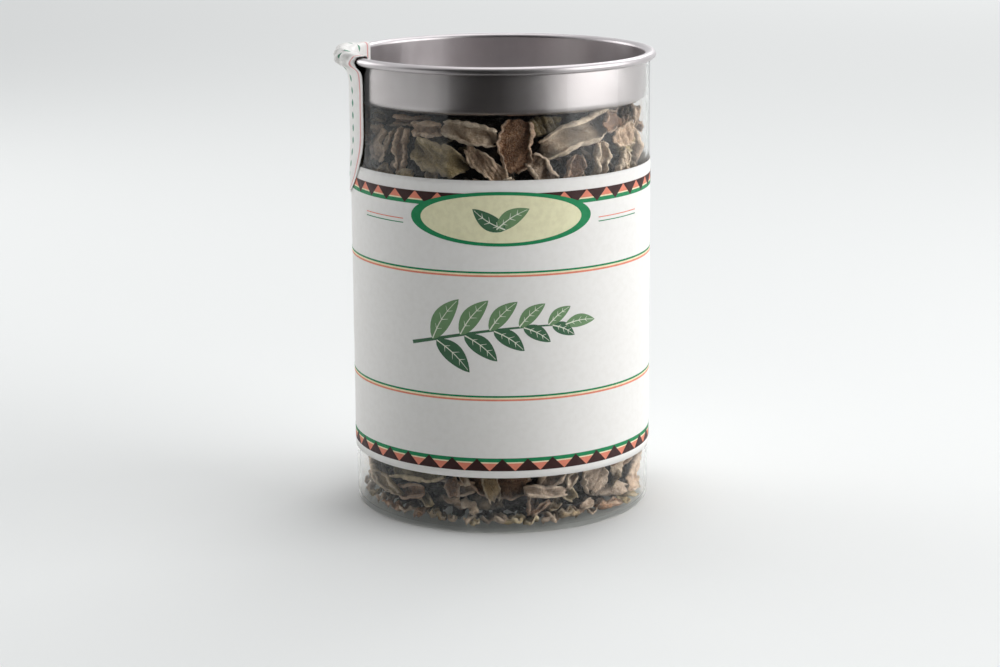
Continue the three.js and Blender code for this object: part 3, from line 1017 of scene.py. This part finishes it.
def read_patch(cad_object):
    """The middle, directions, size and bends of a CAD leaf. The patch is a sum of six terms, 1, s,
    t, s*s, s*t and t*t, fitted by least squares."""
    count = len(cad_object.data.vertices)
    points = np.empty(count * 3, np.float32)
    cad_object.data.vertices.foreach_get("co", points)
    points = np.unique(points.reshape(-1, 3).astype(float).round(6), axis=0)
    middle = points.mean(0)
    _, _, directions = np.linalg.svd(points - middle, full_matrices=False)
    outwards = np.array([middle[0], middle[1], 0.0])
    if directions[2] @ outwards < 0:
        directions[2] *= -1
    directions[1] = np.cross(directions[2], directions[0])
    s, t, rise = ((points - middle) @ directions.T).T
    terms = np.stack([np.ones_like(s), s, t, s * s, s * t, t * t], 1)
    level, _, _, arch, twist, gutter = np.linalg.lstsq(terms, rise, rcond=None)[0]
    size = (np.ptp(s), np.ptp(t))
    place = middle + directions[2] * level
    return place, directions, size, (gutter, arch, twist)


LOWEST = TUBE_BASE + 0.1 * mm
HIGHEST = lid_low.z - 0.4 * mm
FURTHEST = INNER_RADIUS - 0.35 * mm
WIDENING = 1.3  # a CAD leaf is as wide as what its rolled rims leave of the whole leaf
FIRST_SEED = 40


def press_in(place, outwards, laid):
    """Lays a leaf with laid(place), and moves it inwards until it no longer reaches past the wall."""
    for _ in range(4):
        shell, faces, numbers = laid(place)
        past_wall = np.hypot(shell[:, 0], shell[:, 1]).max() - FURTHEST
        if past_wall <= 0:
            break
        place = place - outwards * (past_wall + 0.02 * mm)
    return shell, faces, numbers


CAD_LEAVES = sorted(name for name in frame["nodes"] if name.startswith("leaf_"))
leaf_slots = {row["node"]: row["material_slot"] for row in frame["record"]["subparts"]}
solid_points = []
for number, name in enumerate(CAD_LEAVES):
    place, directions, size, bend = read_patch(frame["nodes"][name])
    outwards = np.array([place[0], place[1], 0]) / math.hypot(place[0], place[1])
    unrolled = (size[0], size[1] * WIDENING)

    def laid(at):
        """This leaf, laid with its middle at a place."""
        return leaf_shell(at, directions, unrolled, bend, FIRST_SEED + number, 40, 20)

    shell, faces, numbers = press_in(place, outwards, laid)
    leaf = piece("sage_" + name, shell, faces, numbers)
    finish(leaf, leaf_slots[name], LEAF_LOOKS[leaf_slots[name]], name)
    solid_points.append(shell)
print("leaves on CAD patches:", len(CAD_LEAVES))

# %% [markdown]
# ## The rest of the filling
#
# The jar is full, so nearly two thousand more pieces lie between and behind those leaves, most of
# them small or out of sight. They are laid one by one at random places and turns. A map of small
# cubes remembers where a leaf already is, and a new one is kept only if few of its points fall in
# taken cubes. Five feelers, at its middle, ends and sides, rule out most places before its shape is
# worked out. Pieces near the wall are finer than the ones deep inside, which only have to close the
# gaps, and the deep ones carry a painted shade that makes them as dark as those gaps.

# %% Lay the filling
CUBE = 1.0 * mm
reach = int(TUBE_RADIUS / CUBE) + 2
taken = np.zeros((2 * reach, 2 * reach, int(tube_high.z / CUBE) + 2), bool)


def cubes(points):
    """The numbers of the cubes that the points fall in, as three index arrays."""
    index = np.floor(points / CUBE).astype(int) + (reach, reach, 0)
    return tuple(np.clip(index, 0, np.array(taken.shape) - 1).T)


for points in solid_points:
    taken[cubes(points)] = True

CROWDING = 0.15  # the share of its points that a new leaf may have in taken cubes
ON_BASE = LOWEST + 5 * mm
FEELERS = np.array([[0, 0], [0.4, 0], [-0.4, 0], [0, 0.3], [0, -0.3]])  # in lengths and widths
GUTTERS, ARCHES, TWISTS = (-160, 160), (-22, 8), (-30, 30)
random = np.random.default_rng(5)
filling = {slot: ([], [], [], []) for slot in LEAF_LOOKS}


def outside(points):
    """Whether any of the points lies past the wall, the base or the lid."""
    heights = points[:, 2]
    past_wall = np.hypot(points[:, 0], points[:, 1]).max() > FURTHEST
    return past_wall or heights.min() < LOWEST or heights.max() > HIGHEST


def crowded(points):
    """Whether too many of the points fall in cubes that other leaves have taken."""
    return taken[cubes(points)].mean() > CROWDING


def try_leaf(low, high, near, far, lying, length, width, columns, rows, seed):
    """Lays one random leaf between two heights and two distances from the axis, if it fits. lying
    is 0 for a leaf that stands against the wall, and 1 for one that lies flat. A leaf of the lowest
    layers is moved up or down until it rests on the base."""
    angle, height = random.uniform(-math.pi, math.pi), random.uniform(low, high)
    distance = math.sqrt(random.uniform(near ** 2, far ** 2))
    out = np.array([math.cos(angle) * (1 - lying), math.sin(angle) * (1 - lying), lying])
    out += random.normal(0, 0.35 - 0.2 * lying, 3)
    out /= np.linalg.norm(out)
    along = np.cross(out, random.normal(0, 1, 3))
    along /= np.linalg.norm(along)
    directions = np.stack([along, np.cross(out, along), out])
    place = np.array([distance * math.cos(angle), distance * math.sin(angle), height])
    size = (random.uniform(*length), random.uniform(*width))
    feelers = place + FEELERS * size @ directions[:2]
    if (outside(feelers) and high != ON_BASE) or crowded(feelers):
        return False
    bend = (random.uniform(*GUTTERS), random.uniform(*ARCHES), random.uniform(*TWISTS))
    shell, faces, numbers = leaf_shell(place, directions, size, bend, seed, columns, rows)
    if high == ON_BASE:
        shell[:, 2] += LOWEST + 0.01 * mm - shell[:, 2].min()
    if outside(shell) or crowded(shell):
        return False
    taken[cubes(shell)] = True
    points, all_faces, tones_and_depth_shades, margins = filling[list(LEAF_LOOKS)[seed % len(LEAF_LOOKS)]]
    all_faces.append(faces + sum(len(part) for part in points))
    points.append(shell)
    tones_and_depth_shades.append(numbers["tone_and_depth_shade"])
    margins.append(numbers["margin"])
    return True


# each row: name, lowest and highest place, nearest and furthest from the axis in mm, how flat the
# leaves lie, their lengths and widths in mm, the columns and rows of their grid, and tries
window, foot_top = label_high.z - 5 * mm, label_low.z + 5 * mm
layers = [
    ("on the base at the wall", LOWEST, ON_BASE, 27, 36.2, 1, (4, 10), (2.5, 5), (10, 6), 4000),
    ("crumbs on the base", LOWEST, ON_BASE, 27, 36.2, 1, (2, 5), (1.5, 3), (6, 4), 4000),
    ("window", window, HIGHEST, 31, 36, 0, (8, 15), (4, 7), (14, 8), 4000),
    ("foot", LOWEST, foot_top, 31, 36, 0, (8, 15), (4, 7), (14, 8), 3000),
    ("behind the window", window, HIGHEST, 24, 33, 0, (9, 17), (4, 8), (8, 4), 3000),
    ("behind the foot", LOWEST, foot_top, 24, 33, 0, (9, 17), (4, 8), (8, 4), 3000),
    ("crumbs in the window", window, HIGHEST, 28, 36.2, 0.4, (4, 8), (2, 4), (8, 4), 3000),
    ("crumbs at the foot", LOWEST, foot_top, 28, 36.2, 0.4, (4, 8), (2, 4), (8, 4), 3000),
    ("under the lid", HIGHEST - 5 * mm, HIGHEST, 4, 33, 1, (9, 17), (5, 9), (6, 4), 3000),
    ("middle of the base", LOWEST, ON_BASE, 4, 29, 1, (9, 17), (5, 9), (6, 4), 3000),
    ("middle", LOWEST, HIGHEST, 4, 27, 0.5, (12, 20), (6, 11), (6, 4), 6000),
    ("behind the label", foot_top, window, 24, 36, 0, (12, 20), (6, 10), (6, 4), 2600),
]
seed = 1000
for title, low, high, near, far, lying, length, width, shape, tries in layers:
    laid = 0
    for _ in range(tries):
        sizes = [(a * mm, b * mm) for a, b in (length, width)]
        laid += try_leaf(low, high, near * mm, far * mm, lying, *sizes, *shape, seed)
        seed += 1
    print(f"{title}: {laid} pieces laid")

for slot, (points, all_faces, tones_and_depth_shades, margins) in filling.items():
    numbers = {"tone_and_depth_shade": np.concatenate(tones_and_depth_shades), "margin": np.concatenate(margins)}
    made = piece("filling_" + slot, np.concatenate(points), np.concatenate(all_faces), numbers)
    finish(made, slot, LEAF_LOOKS[slot])
    print(made.name, len(made.data.polygons), "faces")

# %% [markdown]
# ## Floor, light and camera
#
# The jar stands on a pale floor in a bright white room. The lights are large and soft: the main one
# to the right, a weaker one behind on the left, one overhead, and one over the far floor. The side
# that faces the camera is the darkest part of the room, and there two black cards, one standing and
# one lying, give the tinplate its dark middle and keep the plastic clear. They cast no shadow, and
# neither the camera nor a matt surface sees them.

# %% Floor
FLOOR_REACH = 4


def plain_material(name, base, **inputs):
    """One colour all over, for what isn't part of the jar."""
    material, tree, out = new_material(name)
    plain = node(tree, "ShaderNodeBsdfPrincipled", {"Base Color": base, **inputs})
    tree.links.new(plain.outputs[0], out.inputs["Surface"])
    return material


def flat_sheet(name, corners, material):
    """A flat four-cornered sheet that belongs to the stage."""
    mesh = bpy.data.meshes.new(name)
    mesh.from_pydata(corners, [], [(0, 1, 2, 3)])
    mesh.materials.append(material)
    sheet = bpy.data.objects.new(name, mesh)
    bpy.context.scene.collection.objects.link(sheet)
    return sheet


floor_look = {"Roughness": 0.8, "Specular IOR Level": 0.0}
flat_sheet("floor", [
    (-FLOOR_REACH, -FLOOR_REACH, 0),
    (FLOOR_REACH, -FLOOR_REACH, 0),
    (FLOOR_REACH, FLOOR_REACH, 0),
    (-FLOOR_REACH, FLOOR_REACH, 0),
], plain_material("pale_floor", colour(236, 237, 236), **floor_look))

print(f"floor: {2 * FLOOR_REACH} m square")

# %% Black cards
card_material = plain_material("black_card", colour(24, 23, 22), Roughness=0.9)


def black_card(name, corners):
    """A card that only shiny and clear surfaces see."""
    card = flat_sheet(name, corners, card_material)
    card.visible_camera = card.visible_diffuse = card.visible_shadow = False


LEFT, RIGHT, NEAR, FAR = -0.36, 0.31, -0.45, -0.06
TOP_OF_CARD, JUST_ABOVE = 0.7, 0.001
black_card("standing_card", [
    (LEFT, NEAR, 0),
    (RIGHT, NEAR, 0),
    (RIGHT, NEAR, TOP_OF_CARD),
    (LEFT, NEAR, TOP_OF_CARD),
])
black_card("lying_card", [
    (LEFT, NEAR, JUST_ABOVE),
    (RIGHT, NEAR, JUST_ABOVE),
    (RIGHT / 4, FAR, JUST_ABOVE),
    (LEFT / 4, FAR, JUST_ABOVE),
])
print(f"black cards: {RIGHT - LEFT:.2f} m wide, from {-NEAR} m in front of the jar")

# %% Room and lights


def room(front_level, back_level, left_level, right_level):
    """The room: white, darker towards the camera's side by the direction's own Y, and a little
    brighter on the right by its X."""
    world = bpy.data.worlds.new("white_room")
    world.use_nodes = True
    tree = world.node_tree
    tree.nodes.clear()
    direction = node(tree, "ShaderNodeTexCoord").outputs["Generated"]
    split = node(tree, "ShaderNodeSeparateXYZ", {0: direction}).outputs
    depth = ramp(tree, split["Y"], -0.7, 0.25, front_level, back_level)
    side = ramp(tree, split["X"], -0.9, 0.9, left_level, right_level)
    strength = math_node(tree, "MULTIPLY", depth, side)
    light = node(tree, "ShaderNodeBackground", {"Color": (0.97, 0.985, 1.0, 1.0), "Strength": strength})
    tree.links.new(light.outputs[0], node(tree, "ShaderNodeOutputWorld").inputs["Surface"])
    return world


def soft_light(name, place, target, size, power):
    """A square soft light at place that faces target."""
    lamp = bpy.data.lights.new(name, "AREA")
    lamp.shape = "RECTANGLE"
    lamp.size, lamp.size_y = size
    lamp.energy = power
    made = bpy.data.objects.new(name, lamp)
    made.location = place
    made.rotation_euler = (Vector(place) - Vector(target)).to_track_quat("Z", "Y").to_euler()
    bpy.context.scene.collection.objects.link(made)
    return made


bpy.context.scene.world = room(0.02, 0.96, 0.87, 1.07)
middle_of_jar = (0, 0, 0.06)
soft_light("right_light", (0.75, -0.2, 0.35), middle_of_jar, (0.8, 0.8), 5.0)
soft_light("left_light", (-0.65, 0.4, 0.3), middle_of_jar, (0.4, 0.5), 1.3)
soft_light("top_light", (0.1, 0.3, 0.85), middle_of_jar, (0.6, 0.5), 1.0)
soft_light("back_light", (0.8, 1.9, 1.3), (0.5, 1.6, 0), (1.2, 0.8), 10.5)
print("lights:", ", ".join(lamp.name for lamp in bpy.data.lights))

# %% Camera
lens = bpy.data.cameras.new("camera")
lens.lens = 89.2
lens.sensor_width = 36.0
lens.clip_start = 0.01
camera = bpy.data.objects.new("camera", lens)
camera.location = (-0.0004, -0.619, 0.1852)
LOOKS_DOWN, LEANS = math.radians(13.02), math.radians(-0.36)
upright = Matrix.Rotation(math.pi / 2 - LOOKS_DOWN, 4, "X")
camera.rotation_euler = (upright @ Matrix.Rotation(LEANS, 4, "Z")).to_euler()
bpy.context.scene.collection.objects.link(camera)
bpy.context.scene.camera = camera
bpy.context.scene.view_settings.view_transform = "Standard"
print(f"camera {-camera.location.y:.2f} m in front, looking {math.degrees(LOOKS_DOWN):.0f} degrees down")
